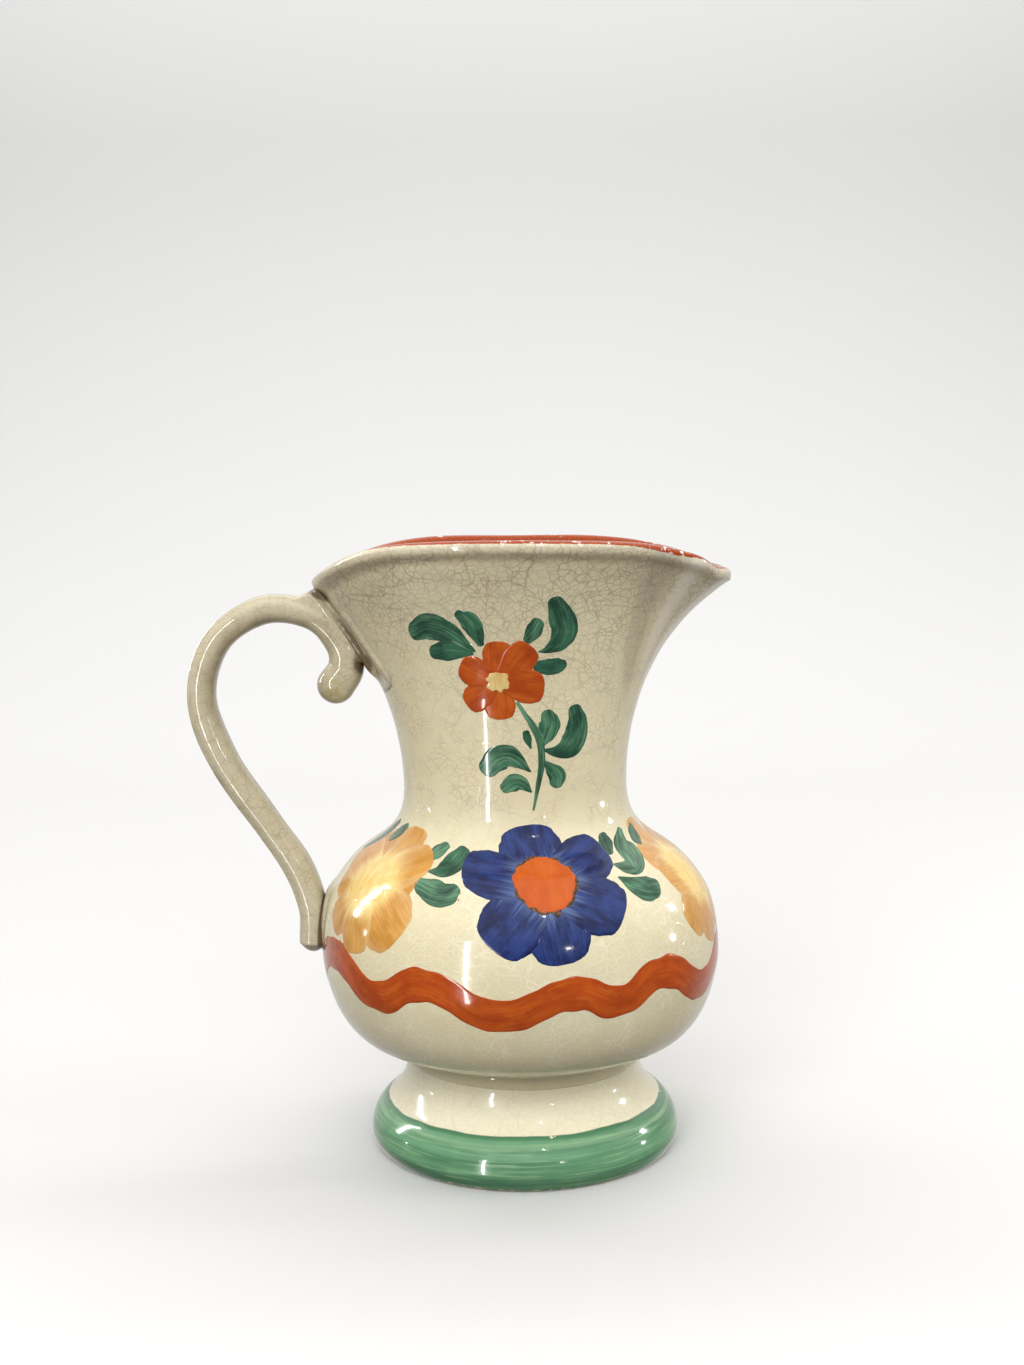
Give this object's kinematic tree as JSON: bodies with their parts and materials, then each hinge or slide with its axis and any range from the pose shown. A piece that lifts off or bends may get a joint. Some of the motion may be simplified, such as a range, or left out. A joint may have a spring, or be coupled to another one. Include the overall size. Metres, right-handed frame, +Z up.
{
  "type": "pitcher",
  "caption": "Round-bellied glazed pitcher on a hollow foot, with a flared saddle rim, a pouring lip and a scrolled strap handle.",
  "frame": {"origin": "on the ground plane under the middle of the overall width, in the plane through handle and spout", "axes": "+Z up, +X towards the spout, -Y towards the painted front; the foot's axis stands at X = +20.6 mm"},
  "size_m": [0.177, 0.13, 0.2],
  "materials": {
    "glazed_cream": "gloss",
    "glazed_green": "gloss",
    "strap_cream": "gloss",
    "luting_slip": "satin"
  },
  "bodies": {
    "root": {"body": "glazed_cream", "foot": "glazed_green", "foot_slip": "luting_slip", "handle": "strap_cream", "handle_upper_slip": "luting_slip", "handle_lower_slip": "luting_slip"}
  },
  "joints": []
}
